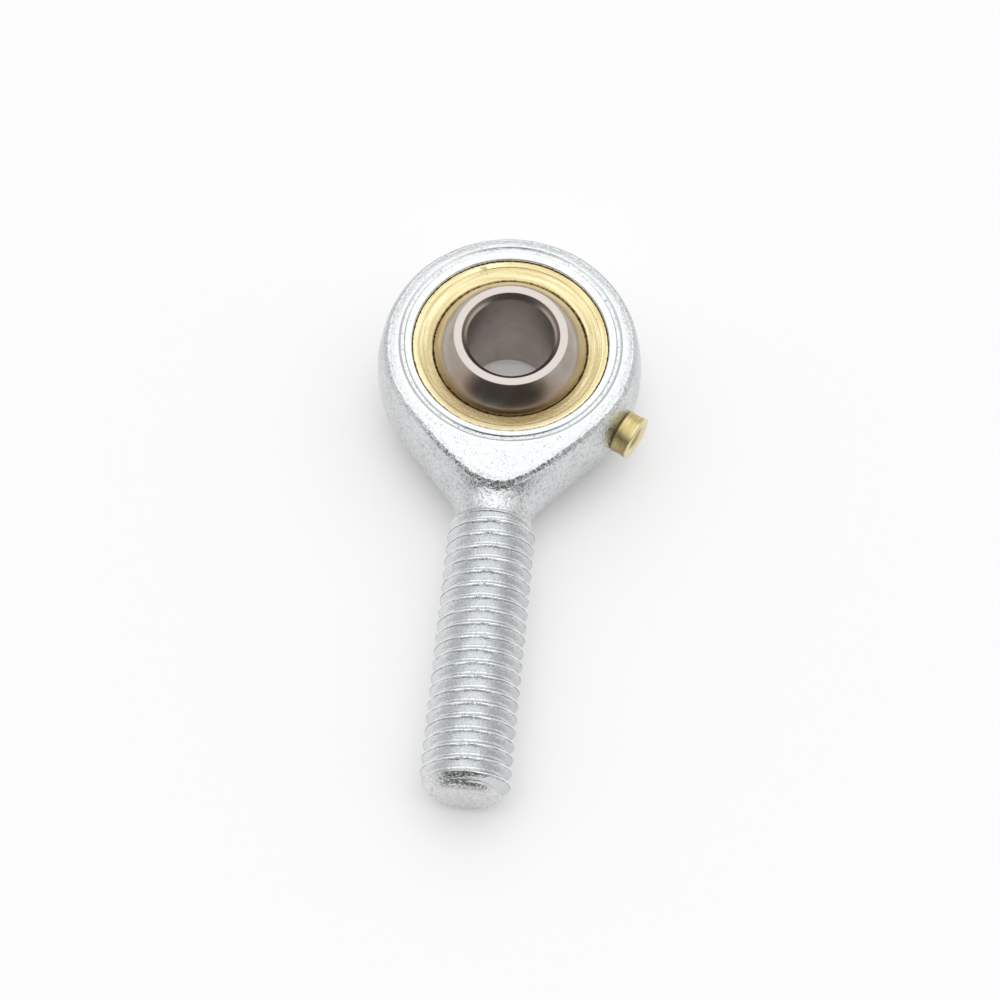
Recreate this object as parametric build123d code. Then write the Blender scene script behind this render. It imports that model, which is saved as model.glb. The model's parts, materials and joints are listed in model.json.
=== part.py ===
from build123d import *
import os
from math import cos, radians, sin, sqrt, tan

# A male rod end: a forged steel head with a threaded shank holds a brass race, and the race holds a
# bored steel ball that swivels. A small brass grease nipple feeds the race through the side of the head.
# Millimetres. The origin is the ball's centre, +Z runs along the bore and the shank points to -Y.

# Ball, the inner ring: a bearing ball, bored through and ground flat on both sides. The flats leave a
# land round the bore, and that makes the ball 12 wide.
bore_diameter = 8.0
ball_diameter = 15.875
ball_land = 1.196
bore_chamfer = 0.5

# Forged head, neck and shank
head_wall = 3.05
head_width = 9.0
shank_reach = 42.5
thread_diameter = 8.0
thread_run_in = 0.6
neck_relief = 0.4
neck_length = 1.5
neck_flare_angle = 39.8
neck_fillet = 3.0
tip_chamfer = 0.95

# Race: pressed into the head and locked by two staked lips
race_wall = 1.28
race_inset = 0.25
race_lip_overhang = 0.28
race_rim = 0.25
race_dish = 0.65
race_mouth_bevel = 0.12
ball_clearance = 0.03
groove_width = 1.6
groove_depth = 0.4
feed_hole_diameter = 1.2
feed_hole_count = 3

# Staking mark: the vee that the tool leaves round each lip
stake_lip_width = 0.4
stake_width = 0.6
stake_depth = 0.15

# Drive-in grease nipple with a funnel mouth
nipple_angle = -27.0
nipple_reach = 1.55
nipple_rim_diameter = 4.15
nipple_collar_diameter = 4.1
nipple_waist_diameter = 3.95
nipple_rim_break = 0.12
nipple_stem_diameter = 3.0
nipple_stem_gap = 0.35
funnel_diameter = 3.1
funnel_depth = 0.45
orifice_diameter = 0.9
orifice_length = 0.2
chamber_diameter = 1.8
chamber_collar_length = 0.35
chamber_collar_bore = 0.9

# Valve in the nipple: a check ball on a compression spring
check_ball_diameter = 1.4
check_ball_clearance = 0.01
spring_wire = 0.18
spring_mean_diameter = 1.0
spring_wire_sides = 6
spring_turns = 4.0

# Radii and levels that follow from the sizes above
ball_width = 2 * sqrt((ball_diameter / 2) ** 2 - (bore_diameter / 2 + ball_land) ** 2)
seat_radius = ball_diameter / 2 + ball_clearance
race_radius = seat_radius + race_wall
head_radius = race_radius + head_wall
face_level = head_width / 2
lip_level = face_level - race_inset
lip_radius = race_radius - race_lip_overhang
mouth_level = lip_level - race_dish
mouth_radius = sqrt(seat_radius**2 - mouth_level**2)
thread_radius = thread_diameter / 2
neck_radius = thread_radius - neck_relief
stem_radius = nipple_stem_diameter / 2

# Levels along the nipple's own axis, counted from the ball's centre
nipple_top = head_radius + nipple_reach
nipple_shoulder = sqrt(head_radius**2 - stem_radius**2)
nipple_foot = race_radius + nipple_stem_gap
orifice_top = nipple_top - funnel_depth
valve_seat_top = orifice_top - orifice_length
valve_seat_foot = valve_seat_top - (chamber_diameter - orifice_diameter) / 2
collar_level = nipple_foot + chamber_collar_length
check_ball_level = (
    valve_seat_top + orifice_diameter / 2 - sqrt(2) * (check_ball_diameter / 2 + check_ball_clearance)
)


def ring(outline):
    """Turn an outline of (radius, height) points into a ring about the Z axis."""
    face = make_face(Polyline(*outline, close=True))
    return revolve(Plane.XZ * face, Axis.Z)


def mirrored(outline):
    """Carry an upper outline, listed from the middle plane outwards, over to the lower side as well."""
    return list(outline) + [(radius, -height) for radius, height in reversed(outline)]


def along_nipple(shape, azimuth=nipple_angle):
    """Stand a shape that was made about the Z axis out along a radius of the head."""
    direction = (cos(radians(azimuth)), sin(radians(azimuth)), 0)
    return Plane(origin=(0, 0, 0), x_dir=(0, 0, 1), z_dir=direction) * shape


def radial_hole(diameter, azimuth, start, end):
    """A drill that runs along a radius of the head, between two distances from the ball's centre."""
    drill = Cylinder(diameter / 2, end - start, align=(Align.CENTER, Align.CENTER, Align.MIN))
    return along_nipple(Pos(0, 0, start) * drill, azimuth)


def forging():
    """Sphere, flare, neck and shank as one turned form: the flare leaves the sphere at a tangent."""
    angle = radians(neck_flare_angle)
    crown = (0, head_radius)
    tangent = (head_radius * cos(angle), -head_radius * sin(angle))
    neck_corner = (neck_radius, -(head_radius / cos(angle) - neck_radius) / tan(angle))
    neck_end = (neck_radius, neck_corner[1] - neck_length)
    sphere = CenterArc((0, 0), head_radius, -neck_flare_angle, 90 + neck_flare_angle)
    flare_and_neck = FilletPolyline(tangent, neck_corner, neck_end, radius=neck_fillet)
    thread = Polyline(
        neck_end,
        (thread_radius, neck_end[1] - thread_run_in),
        (thread_radius, -(shank_reach - tip_chamfer)),
        (thread_radius - tip_chamfer, -shank_reach),
        (0, -shank_reach),
        crown,
    )
    return revolve(make_face(sphere + flare_and_neck + thread), Axis.Y)


def race_seat():
    """What is bored out of the head: a seat as long as the race, closed in at both ends by the lips."""
    return ring(
        mirrored(
            [
                (race_radius, lip_level - race_lip_overhang),
                (lip_radius, lip_level),
                (lip_radius + race_inset, face_level),
                (0, face_level),
            ]
        )
    )


def staking_vee():
    """The vee groove round the upper lip."""
    inner = lip_radius + race_inset + stake_lip_width
    return ring(
        [
            (inner, face_level),
            (inner + stake_width / 2, face_level - stake_depth),
            (inner + stake_width, face_level),
        ]
    )


def rod_end_body():
    """The forging, milled flat on both sides of the head, bored for the race and drilled for the nipple."""
    slab = Box(4 * shank_reach, 4 * shank_reach, head_width)
    body = forging() & slab
    body -= race_seat()
    vee = staking_vee()
    body -= vee
    body -= mirror(vee, Plane.XY)
    body -= radial_hole(nipple_stem_diameter, nipple_angle, race_radius / 2, nipple_top)
    return body


def race():
    """A brass ring with a spherical seat, dished towards the ball, with a grease groove and feed holes."""
    blank = ring(
        mirrored(
            [
                (race_radius, lip_level - race_lip_overhang),
                (lip_radius, lip_level),
                (lip_radius - race_rim, lip_level),
                (mouth_radius + race_mouth_bevel, mouth_level + race_mouth_bevel),
                (mouth_radius, mouth_level),
            ]
        )
    )
    race_ring = blank - Sphere(seat_radius)
    groove = Cylinder(race_radius + groove_depth, groove_width) - Cylinder(
        race_radius - groove_depth, groove_width
    )
    race_ring -= groove
    for step in range(feed_hole_count):
        azimuth = nipple_angle + step * 360 / feed_hole_count
        race_ring -= radial_hole(feed_hole_diameter, azimuth, mouth_radius / 2, race_radius)
    return race_ring


def ball():
    """A sphere ground flat on both sides and bored, with a chamfer at each bore mouth."""
    blank = Sphere(ball_diameter / 2) & Box(2 * ball_diameter, 2 * ball_diameter, ball_width)
    bored = blank - Cylinder(bore_diameter / 2, 2 * ball_width)
    mouths = bored.edges().filter_by(GeomType.CIRCLE).group_by(SortBy.RADIUS)[0]
    return chamfer(mouths, bore_chamfer)


def nipple_body():
    """A turned piece: stem, shoulder, waisted head, funnel mouth, orifice, valve seat and spring chamber."""
    collar = nipple_collar_diameter / 2
    rim = nipple_rim_diameter / 2
    waist_level = (nipple_shoulder + nipple_top) / 2
    foot = Polyline((chamber_collar_bore / 2, nipple_foot), (stem_radius, nipple_foot))
    stem = Polyline((stem_radius, nipple_foot), (stem_radius, nipple_shoulder), (collar, nipple_shoulder))
    waist = ThreePointArc(
        (collar, nipple_shoulder),
        (nipple_waist_diameter / 2, waist_level),
        (rim, nipple_top - nipple_rim_break),
    )
    inside = Polyline(
        (rim, nipple_top - nipple_rim_break),
        (rim - nipple_rim_break, nipple_top),
        (funnel_diameter / 2, nipple_top),
        (orifice_diameter / 2, orifice_top),
        (orifice_diameter / 2, valve_seat_top),
        (chamber_diameter / 2, valve_seat_foot),
        (chamber_diameter / 2, collar_level),
        (chamber_collar_bore / 2, collar_level),
        (chamber_collar_bore / 2, nipple_foot),
    )
    section = make_face(foot + stem + waist + inside)
    return along_nipple(revolve(Plane.XZ * section, Axis.Z))


def nipple_check_ball():
    """The ball that the spring holds against the conical seat under the orifice."""
    return along_nipple(Pos(0, 0, check_ball_level) * Sphere(check_ball_diameter / 2))


def nipple_spring():
    """A helical wire between the collar at the nipple's foot and the back of the check ball."""
    reach = (check_ball_diameter + spring_wire) / 2 + check_ball_clearance
    coil_radius = spring_mean_diameter / 2
    top = check_ball_level - sqrt(reach**2 - coil_radius**2)
    bottom = collar_level + spring_wire / 2
    height = top - bottom
    path = Pos(0, 0, bottom) * Helix(height / spring_turns, height, coil_radius)
    section = Plane(origin=path @ 0, z_dir=path % 0) * RegularPolygon(spring_wire / 2, spring_wire_sides)
    return along_nipple(sweep(section, path=path, is_frenet=True))


def main():
    """Write one STEP file for each piece."""
    os.makedirs("parts", exist_ok=True)
    for make in (rod_end_body, race, ball, nipple_body, nipple_check_ball, nipple_spring):
        piece = make()
        piece.label = make.__name__
        export_step(piece, f"parts/{make.__name__}.step")


main()
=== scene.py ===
# %% [markdown]
# # Dressing a male rod end
# The object is a small machine part: a zinc plated steel eye with a threaded shank, a brass race pressed
# into the eye, a bored steel ball that swivels in the race, and a brass grease nipple on the side.
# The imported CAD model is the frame. It fixes every size and place, so this script only changes how the
# pieces look: each cell below makes one piece or one finish and says why it is made in that way.

import functools
import json
import math

import bmesh
import bpy
import numpy as np
from mathutils import Matrix, Vector, noise


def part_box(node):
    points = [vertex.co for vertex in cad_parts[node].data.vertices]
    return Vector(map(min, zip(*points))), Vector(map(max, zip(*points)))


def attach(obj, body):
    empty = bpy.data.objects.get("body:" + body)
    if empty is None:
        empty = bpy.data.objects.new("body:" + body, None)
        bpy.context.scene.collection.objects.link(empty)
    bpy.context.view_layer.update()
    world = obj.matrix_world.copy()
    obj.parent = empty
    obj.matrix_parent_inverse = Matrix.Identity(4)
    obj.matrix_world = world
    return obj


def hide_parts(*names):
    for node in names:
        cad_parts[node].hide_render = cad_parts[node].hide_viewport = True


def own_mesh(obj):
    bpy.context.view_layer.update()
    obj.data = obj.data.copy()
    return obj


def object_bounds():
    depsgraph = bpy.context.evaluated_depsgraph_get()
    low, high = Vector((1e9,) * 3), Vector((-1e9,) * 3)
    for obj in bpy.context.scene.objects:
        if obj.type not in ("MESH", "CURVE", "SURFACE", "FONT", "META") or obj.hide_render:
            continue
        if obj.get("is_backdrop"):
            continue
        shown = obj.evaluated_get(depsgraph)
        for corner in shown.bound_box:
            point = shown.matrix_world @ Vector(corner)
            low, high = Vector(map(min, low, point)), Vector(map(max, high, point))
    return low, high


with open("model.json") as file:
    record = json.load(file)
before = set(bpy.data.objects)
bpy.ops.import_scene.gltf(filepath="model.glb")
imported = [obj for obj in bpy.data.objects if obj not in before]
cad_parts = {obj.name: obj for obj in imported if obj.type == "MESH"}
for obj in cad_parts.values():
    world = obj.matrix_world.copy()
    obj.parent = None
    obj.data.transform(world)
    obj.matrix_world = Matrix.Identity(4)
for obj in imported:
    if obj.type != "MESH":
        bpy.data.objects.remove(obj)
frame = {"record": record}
cad_low, cad_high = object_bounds()
MM = 0.001
print("CAD box in mm:", [round(v / MM, 3) for v in (*cad_low, *cad_high)])

# %% [markdown]
# ## Sizes
# Outer sizes come from the frame: the box of each node and the mounts of the record. Only the sizes of
# fine detail that the frame doesn't state are written here, in millimetres times MM.

# %% Sizes that the frame gives
mounts = {mount["name"]: mount for mount in frame["record"]["mounts"]}
bore_radius = mounts["bore"]["dims"]["r_mm"] * MM
thread_radius = mounts["shank_thread"]["dims"]["r_mm"] * MM
nipple_place = Vector(mounts["grease_nipple"]["pos_m"])
nipple_top = nipple_place.length
nipple_axis = nipple_place.normalized()

ball_radius, ball_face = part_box("ball")[1].x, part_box("ball")[1].z
race_radius, race_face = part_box("race")[1].x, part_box("race")[1].z
head_radius, head_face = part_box("rod_end_body")[1].y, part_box("rod_end_body")[1].z
shank_tip = -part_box("rod_end_body")[0].y
print("head radius", round(head_radius / MM, 3), "race radius", round(race_radius / MM, 3),
      "ball radius", round(ball_radius / MM, 3), "shank tip", round(shank_tip / MM, 3))

# %% [markdown]
# ## Making smooth meshes from grids of points
# Machined parts are surfaces that follow simple rules, so each piece is a few grids of points, made by a
# formula, whose shared edges are welded. Long even rows of quads shade cleanly, which a Boolean cut or a
# voxel remesh would spoil. Welding first and then recalculating normals closes seams and poles.

# %% Helpers for grids
WELD = 0.0005 * MM


def grid_quads(rows, columns):
    """Corner numbers of the quads between the points of a grid that is numbered row by row."""
    row, column = np.meshgrid(np.arange(rows - 1), np.arange(columns - 1), indexing="ij")
    corner = (row * columns + column).ravel()
    return np.stack([corner, corner + 1, corner + columns + 1, corner + columns], axis=1)


def finish_mesh(work, mesh):
    """Writes bmesh work back to its mesh, shaded smooth."""
    for face in work.faces:
        face.smooth = True
    work.to_mesh(mesh)
    open_edges = sum(not edge.is_manifold for edge in work.edges)
    work.free()
    print(mesh.name, "has", len(mesh.polygons), "faces and", open_edges, "open edges")
    return mesh


def welded_mesh(name, grids):
    """Joins grids of points into one closed, smooth mesh with its normals outward."""
    points, quads, count = [], [], 0
    for grid in grids:
        points.append(grid.reshape(-1, 3))
        quads.append(grid_quads(*grid.shape[:2]) + count)
        count += len(points[-1])
    mesh = bpy.data.meshes.new(name)
    mesh.from_pydata(np.concatenate(points).tolist(), [], np.concatenate(quads).tolist())
    work = bmesh.new()
    work.from_mesh(mesh)
    bmesh.ops.remove_doubles(work, verts=work.verts, dist=WELD)
    bmesh.ops.recalc_face_normals(work, faces=work.faces)
    return finish_mesh(work, mesh)


def piece(mesh, material):
    """Puts a finished mesh in the scene as an object at the origin."""
    made = bpy.data.objects.new(mesh.name, mesh)
    bpy.context.scene.collection.objects.link(made)
    mesh.materials.clear()
    mesh.materials.append(material)
    return made


# %% [markdown]
# ## Outlines with broken edges
# No real edge is knife sharp: a broken edge is what catches the light. An outline here is a list of
# (radius, height, edge) points, with edge in millimetres, and soften() replaces each corner by a small
# arc. It adds a guard point on each side, so that smooth shading bends only in the arc and flat faces
# stay flat.

# %% Helpers for turned pieces
ARC_STEPS = 3
GUARD = 1.5  # how far a guard point stands from its corner, as a share of the arc's own reach


def soften(outline):
    """Rounds each corner of a closed outline by its own edge radius."""
    points = []
    for index, (radius, height, edge) in enumerate(outline):
        corner, edge = Vector((radius, height)), edge * MM
        if edge == 0:
            points.append(corner)
            continue
        before = (Vector(outline[index - 1][:2]) - corner).normalized()
        after = (Vector(outline[(index + 1) % len(outline)][:2]) - corner).normalized()
        half_angle = before.angle(after) / 2
        reach = edge / math.tan(half_angle)
        centre = corner + (before + after).normalized() * edge / math.sin(half_angle)
        points.append(corner + before * reach * GUARD)
        for step in range(ARC_STEPS + 1):
            arm = (before * reach).lerp(after * reach, step / ARC_STEPS) + corner - centre
            points.append(centre + arm.normalized() * edge)
        points.append(corner + after * reach * GUARD)
    return points


def arc_points(radius, start, end, count):
    """Points on a circle round the ball's centre, as (radius, height, edge), between two angles."""
    angles = np.linspace(start, end, count)
    return [(radius * math.cos(angle), radius * math.sin(angle), 0) for angle in angles]


def turned(outline, segments, axis=Vector((0, 0, 1))):
    """Turns a closed outline about an axis through the origin into a grid of points."""
    across = axis.orthogonal().normalized()
    frame_axes = np.array([across, axis.cross(across), axis])
    radius, height = np.array([*outline, outline[0]]).T[..., None]
    angle = np.linspace(0, 2 * math.pi, segments + 1)
    local = [radius * np.cos(angle), radius * np.sin(angle), np.repeat(height, segments + 1, axis=1)]
    return np.stack(local, axis=-1) @ frame_axes


print("each softened corner gets", ARC_STEPS + 3, "points")


# %% [markdown]
# ## The forged head
# The blank is one turned form: a sphere that runs into a cone, and the cone into the neck. Its two faces
# are milled flat. The skin is therefore built in rings round the shank's axis. Where a ring would rise
# through the milled face it stops short, and a rolling ball of the edge's radius takes it over the edge.
# The ball's contact point on the face is the start of the flat, so edge and flat meet without a step.

# %% Sizes of the forging
NECK_FLARE = math.radians(39.8)
NECK_RADIUS = 3.6 * MM
NECK_FILLET = 3.0 * MM
NECK_LENGTH = 1.5 * MM
FACE_EDGE = 1.1 * MM
SIDE_STEPS, EDGE_STEPS, RIM_STATIONS = 24, 8, 112
neck_corner = (head_radius / math.cos(NECK_FLARE) - NECK_RADIUS) / math.tan(NECK_FLARE)
neck_end = neck_corner + NECK_LENGTH


def forging_profile():
    """Radius, level and outward normal along the turned form, from the crown down to the neck's end."""
    samples = 3000
    reach = NECK_FILLET * math.tan(NECK_FLARE / 2)
    down = np.array([-math.sin(NECK_FLARE), -math.cos(NECK_FLARE)])
    out = np.array([math.cos(NECK_FLARE), -math.sin(NECK_FLARE)])
    sphere = np.linspace(math.pi / 2, -NECK_FLARE, samples)
    sphere_normal = np.stack([np.cos(sphere), np.sin(sphere)], axis=1)
    cone_end = np.array([NECK_RADIUS, -neck_corner]) - down * reach
    cone = np.linspace(head_radius * out, cone_end, samples // 4)
    fillet = np.linspace(NECK_FLARE, 0, samples // 8)
    fillet_normal = np.stack([np.cos(fillet), -np.sin(fillet)], axis=1)
    fillet_points = cone_end + NECK_FILLET * out - NECK_FILLET * fillet_normal
    neck = np.linspace(fillet_points[-1], [NECK_RADIUS, -neck_end], samples // 8)
    points = np.concatenate([head_radius * sphere_normal, cone[1:], fillet_points[1:], neck[1:]])
    normals = np.concatenate(
        [
            sphere_normal,
            np.repeat(out[None], len(cone) - 1, axis=0),
            fillet_normal[1:],
            np.repeat([[1.0, 0.0]], len(neck) - 1, axis=0),
        ]
    )
    return points, normals


form_points, form_normals = forging_profile()
form_length = np.concatenate([[0], np.cumsum(np.linalg.norm(np.diff(form_points, axis=0), axis=1))])


def on_form(length):
    """Point and normal of the turned form at given distances from the crown."""
    point = np.stack([np.interp(length, form_length, form_points[:, k]) for k in (0, 1)], axis=-1)
    normal = np.stack([np.interp(length, form_length, form_normals[:, k]) for k in (0, 1)], axis=-1)
    return point, normal / np.linalg.norm(normal, axis=-1, keepdims=True)


print("profile of the forging is", round(form_length[-1] / MM, 2), "mm long")

# %% [markdown]
# Rings are spaced evenly along the rim of the milled face, not along the profile: near the two ends of
# the flat the rim runs across the part, and even steps along the profile would leave it jagged there.

# %% Place the rings
def rim_reach(length):
    """How far the flat's rim stands from the middle plane, and its level, at each ring."""
    point, normal = on_form(length)
    inset = point - FACE_EDGE * normal
    half = np.sqrt(np.maximum(inset[..., 0] ** 2 - (head_face - FACE_EDGE) ** 2, 0))
    return half, inset[..., 1]


point, normal = form_points, form_normals
under_face = np.flatnonzero(point[:, 0] - FACE_EDGE * normal[:, 0] > head_face - FACE_EDGE)
flat_start, flat_end = form_length[under_face[0]], form_length[under_face[-1]]
spread = (1 - np.cos(np.linspace(0, math.pi, 4000))) / 2
fine = flat_start + (flat_end - flat_start) * spread
fine_half, fine_level = rim_reach(fine)
rim_length = np.concatenate([[0], np.cumsum(np.hypot(np.diff(fine_half), np.diff(fine_level)))])
rim_rings = np.interp(np.linspace(0, rim_length[-1], RIM_STATIONS + 1), rim_length, fine)
crown_rings = np.linspace(0, flat_start, 14)
neck_rings = np.linspace(flat_end, form_length[-1], 24)
print("rim is", round(2 * rim_length[-1] / MM, 1), "mm round, in steps of",
      round(rim_length[-1] / RIM_STATIONS / MM, 2), "mm")


# %% [markdown]
# The top right quarter of the skin is enough, because the other three are its mirror images. It has
# three parts: the side, the rounded edge and the flat, which runs in along radii to the turned ring in
# the middle. That ring is turned about the bore, so its points keep the same radii all the way in.

# %% Build the skin of the head
RING_START = 10.5 * MM
STAKE_INNER, STAKE_INNER_FADE, STAKE_OUTER_FADE = 9.3 * MM, 0.3 * MM, 0.2 * MM
STAKING_SHIFT = 0.14 * MM
FLAT_STEPS = (0, 0.03, 0.12, 0.3, 0.5, 0.7, 0.88, 0.97, 1)
LIP_OUTLINE = [
    (10.28 * MM, head_face, 0.06),
    (10.00 * MM, head_face - 0.18 * MM, 0.03),
    (9.80 * MM, head_face - 0.20 * MM, 0.02),
    (9.68 * MM, head_face - 0.01 * MM, 0.03),
    (9.08 * MM, head_face - 0.01 * MM, 0.05),
    (9.02 * MM, head_face - 0.25 * MM, 0.02),
    (race_radius, head_face - 0.50 * MM, 0.0),
    (race_radius, 0.0, 0.0),
]


def side_and_edge():
    """The side of the head from the middle plane up, and its rounded edge onto the flat."""
    length = np.concatenate([crown_rings[:-1], rim_rings, neck_rings[1:]])
    point = on_form(length)[0]
    half, rim_level = rim_reach(rim_rings)
    half[[0, -1]] = 0
    edge_angle = np.full(len(length), math.pi / 2)
    cut = slice(len(crown_rings) - 1, len(crown_rings) - 1 + len(rim_rings))
    edge_angle[cut] = np.arctan2(head_face - FACE_EDGE, half)
    angle = edge_angle[:, None] * np.linspace(0, 1, SIDE_STEPS + 1)
    radius, level = point.T[..., None]
    level = np.repeat(level, SIDE_STEPS + 1, axis=1)
    side = np.stack([radius * np.cos(angle), level, radius * np.sin(angle)], axis=-1)
    centre = np.stack([half, rim_level, np.full(len(half), head_face - FACE_EDGE)], axis=-1)
    start = side[cut, -1] - centre
    end = np.array([0, 0, FACE_EDGE])
    turn = np.arccos(np.clip(start @ end / FACE_EDGE**2, -1, 1))[:, None, None]
    part = np.linspace(0, 1, EDGE_STEPS + 1)[None, :, None]
    swing = np.sin((1 - part) * turn) * start[:, None] + np.sin(part * turn) * end
    edge = centre[:, None] + swing / np.sin(turn)
    edge[:, 0] = side[cut, -1]
    return side, edge


def flat_and_ring(rim):
    """The milled flat from its rim in to the turned ring, and the ring down into the race's seat."""
    angle = np.arctan2(rim[:, 1], rim[:, 0])[:, None]
    radius, height = np.array(soften([(RING_START, head_face, 0.0), *LIP_OUTLINE])).T
    shifted = np.clip((radius - STAKE_INNER) / STAKE_INNER_FADE, 0, 1)
    shifted = shifted * np.clip((RING_START - radius) / STAKE_OUTER_FADE, 0, 1)
    radius = radius + STAKING_SHIFT * shifted * np.sin(angle)
    height = np.repeat(height[None], len(angle), axis=0)
    ring = np.stack([np.cos(angle) * radius, np.sin(angle) * radius, height], axis=-1)
    part = np.array(FLAT_STEPS)[None, :, None]
    flat = rim[:, None] * (1 - part) + ring[:, :1] * part
    return flat, ring


side, edge = side_and_edge()
flat, ring = flat_and_ring(edge[:, -1])
head_grids = [
    grid * np.array([across, 1, up])
    for grid in (side, edge, flat, ring)
    for across in (1, -1)
    for up in (1, -1)
]
print("head skin:", sum(grid.shape[0] * grid.shape[1] for grid in head_grids), "points")

# %% [markdown]
# ## Talking to node trees
# Both geometry and materials are node trees. A few helpers keep them readable: feed() links a socket or
# sets its value, and node() adds any node with its settings. The others add one step of arithmetic each,
# in the tree that their inputs come from, so that a chain of nodes reads like a sum.

# %% Helpers for node trees
def feed(socket, value):
    """Links a socket to another socket, or sets its own value."""
    if isinstance(value, bpy.types.NodeSocket):
        socket.id_data.links.new(value, socket)
    else:
        socket.default_value = value


def node(tree, kind, inputs=None, **settings):
    """Adds a node, sets its properties and fills its inputs by name or number."""
    made = tree.nodes.new(kind)
    for name, value in settings.items():
        setattr(made, name, value)
    for key, value in (inputs or {}).items():
        feed(made.inputs[key], value)
    return made


def beside(values, kind, **settings):
    """Adds a node to the tree that its inputs come from."""
    tree = next(value.id_data for value in values if isinstance(value, bpy.types.NodeSocket))
    return node(tree, kind, dict(enumerate(values)), **settings)


def calc(operation, *values, clamp=False):
    """One step of arithmetic, as its output socket."""
    return beside(values, "ShaderNodeMath", operation=operation, use_clamp=clamp).outputs[0]


def times(*factors):
    """The product of two or more factors."""
    return functools.reduce(functools.partial(calc, "MULTIPLY"), factors)


def plus(first, second):
    """A sum."""
    return calc("ADD", first, second)


def minus(first, second):
    """A difference. 1 minus a mask is that mask turned inside out."""
    return calc("SUBTRACT", first, second)


def vector_calc(operation, *vectors):
    """One step of vector arithmetic."""
    return beside(vectors, "ShaderNodeVectorMath", operation=operation).outputs


def split(vector):
    """The three parts of a vector, as sockets."""
    return beside([vector], "ShaderNodeSeparateXYZ").outputs


def vector_of(*parts):
    """A vector made of two or three numbers."""
    return beside(parts, "ShaderNodeCombineXYZ").outputs[0]


def ramp(value, low, high):
    """A smooth step: 0 below low, 1 above high."""
    inputs = {"Value": value, "From Min": low, "From Max": high, "To Min": 0.0, "To Max": 1.0}
    return node(value.id_data, "ShaderNodeMapRange", inputs, interpolation_type="SMOOTHSTEP").outputs[0]


print("node helpers are ready, for Blender", bpy.app.version_string)

# %% [markdown]
# ## The rolled thread
# A rolled thread is one profile that runs along a helix, so Geometry Nodes make it from a flat grid.
# Each row of the grid follows the helix, and so the crests lie exactly on rows and stay crisp. Rolling
# leaves its own marks: the metal creeps up both sides of the die's groove and the crest ends as two fine
# ridges with a seam between them, the thread fades in over the first half turn from the blank's neck,
# and the last turns run out in the chamfer. Rows that would leave the shank are clamped to its ends,
# where welding removes them, and the rows past the end close the tip.

# %% Sizes of the thread
THREAD_SIZES = {
    "Start level": -neck_end,
    "Length": shank_tip - neck_end - 0.01 * MM,
    "Pitch": 1.25 * MM,
    "First crest": 0.46 * MM,
    "Blank radius": NECK_RADIUS,
    "Root radius": 3.24 * MM,
    "Crest radius": thread_radius - 0.05 * MM,
    "Crest half width": 0.10 * MM,
    "Seam offset": 0.06 * MM,
    "Seam depth": 0.04 * MM,
    "Seam width": 0.05 * MM,
    "Fade length": 0.6 * MM,
    "Tip radius": 2.95 * MM,
    "Tip dome": 0.08 * MM,
    "Unevenness": 0.05 * MM,
}
THREAD_COUNTS = {"Segments": 4 * SIDE_STEPS, "Rows per turn": 24}
THREAD_MASKS = ("thread", "seam", "crest", "chamfer")
turn_count = THREAD_SIZES["Length"] / THREAD_SIZES["Pitch"]
print("the thread makes", round(turn_count, 1), "turns of", THREAD_COUNTS["Rows per turn"], "rows")


# %% Steps of the thread's sum
CROWDING = 0.6  # how strongly rows crowd at the crest, where 0 spaces them evenly
FLANK_FALL = 1.732  # how fast the radius falls along a sixty degree flank
print("flanks fall by", FLANK_FALL, "of the distance from the crest's flat")


def along_helix(size, around, along, run):
    """How far down the shank each point is, and how far it is past the middle of its crest."""
    # Rows crowd together at the crest, where the detail is: the phase is bent by a sine of its own.
    bend = calc("SINE", times(along, 2 * math.pi))
    bent = plus(along, times(bend, CROWDING / (2 * math.pi)))
    lead = times(minus(plus(bent, around), 2.0), size["Pitch"])
    travel = calc("MAXIMUM", plus(lead, size["First crest"]), 0.0)
    past_crest = times(minus(calc("FRACT", bent), 0.5), size["Pitch"])
    return calc("MINIMUM", travel, run), past_crest


def rolled_radius(size, travel, past_crest, ripple):
    """Radius of the rolled thread, with masks of where it has faded in and of its seam."""
    off_crest = calc("ABSOLUTE", past_crest)
    fall = calc("SMOOTH_MAX", minus(off_crest, size["Crest half width"]), 0.0, 0.08 * MM)
    flank = minus(plus(size["Crest radius"], ripple), times(fall, FLANK_FALL))
    flank = calc("SMOOTH_MAX", flank, size["Root radius"], 0.10 * MM)
    off_seam = calc("DIVIDE", minus(past_crest, size["Seam offset"]), size["Seam width"])
    seam = calc("EXPONENT", times(off_seam, off_seam, -1.0))
    formed = minus(flank, times(seam, size["Seam depth"]))
    fade = ramp(travel, 0.0, size["Fade length"])
    blank = size["Blank radius"]
    return plus(blank, times(minus(formed, blank), fade)), fade, seam


def cut_tip(size, travel, rolled):
    """Radius and depth once the tip is cut, with a mask of the cut."""
    # A cone cuts the thread back, and past the cone's end the rows close over a shallow dome.
    cone_end = minus(size["Length"], size["Tip dome"])
    cone = plus(size["Tip radius"], minus(cone_end, travel))
    shank = calc("SMOOTH_MIN", rolled, cone, 0.08 * MM)
    over_cone = calc("MULTIPLY", minus(rolled, cone), 1 / (0.15 * MM), clamp=True)
    overrun = calc("MAXIMUM", minus(travel, cone_end), 0.0)
    closing = calc("MAXIMUM", minus(size["Tip radius"], overrun), 0.0)
    closing = times(closing, calc("GREATER_THAN", closing, 0.06 * MM))
    over_end = calc("GREATER_THAN", travel, cone_end)
    radius = plus(times(shank, minus(1.0, over_end)), times(closing, over_end))
    share = calc("POWER", calc("DIVIDE", closing, size["Tip radius"]), 2.0)
    dome = times(minus(1.0, share), size["Tip dome"])
    return radius, plus(calc("MINIMUM", travel, cone_end), times(dome, over_end)), over_cone


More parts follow.
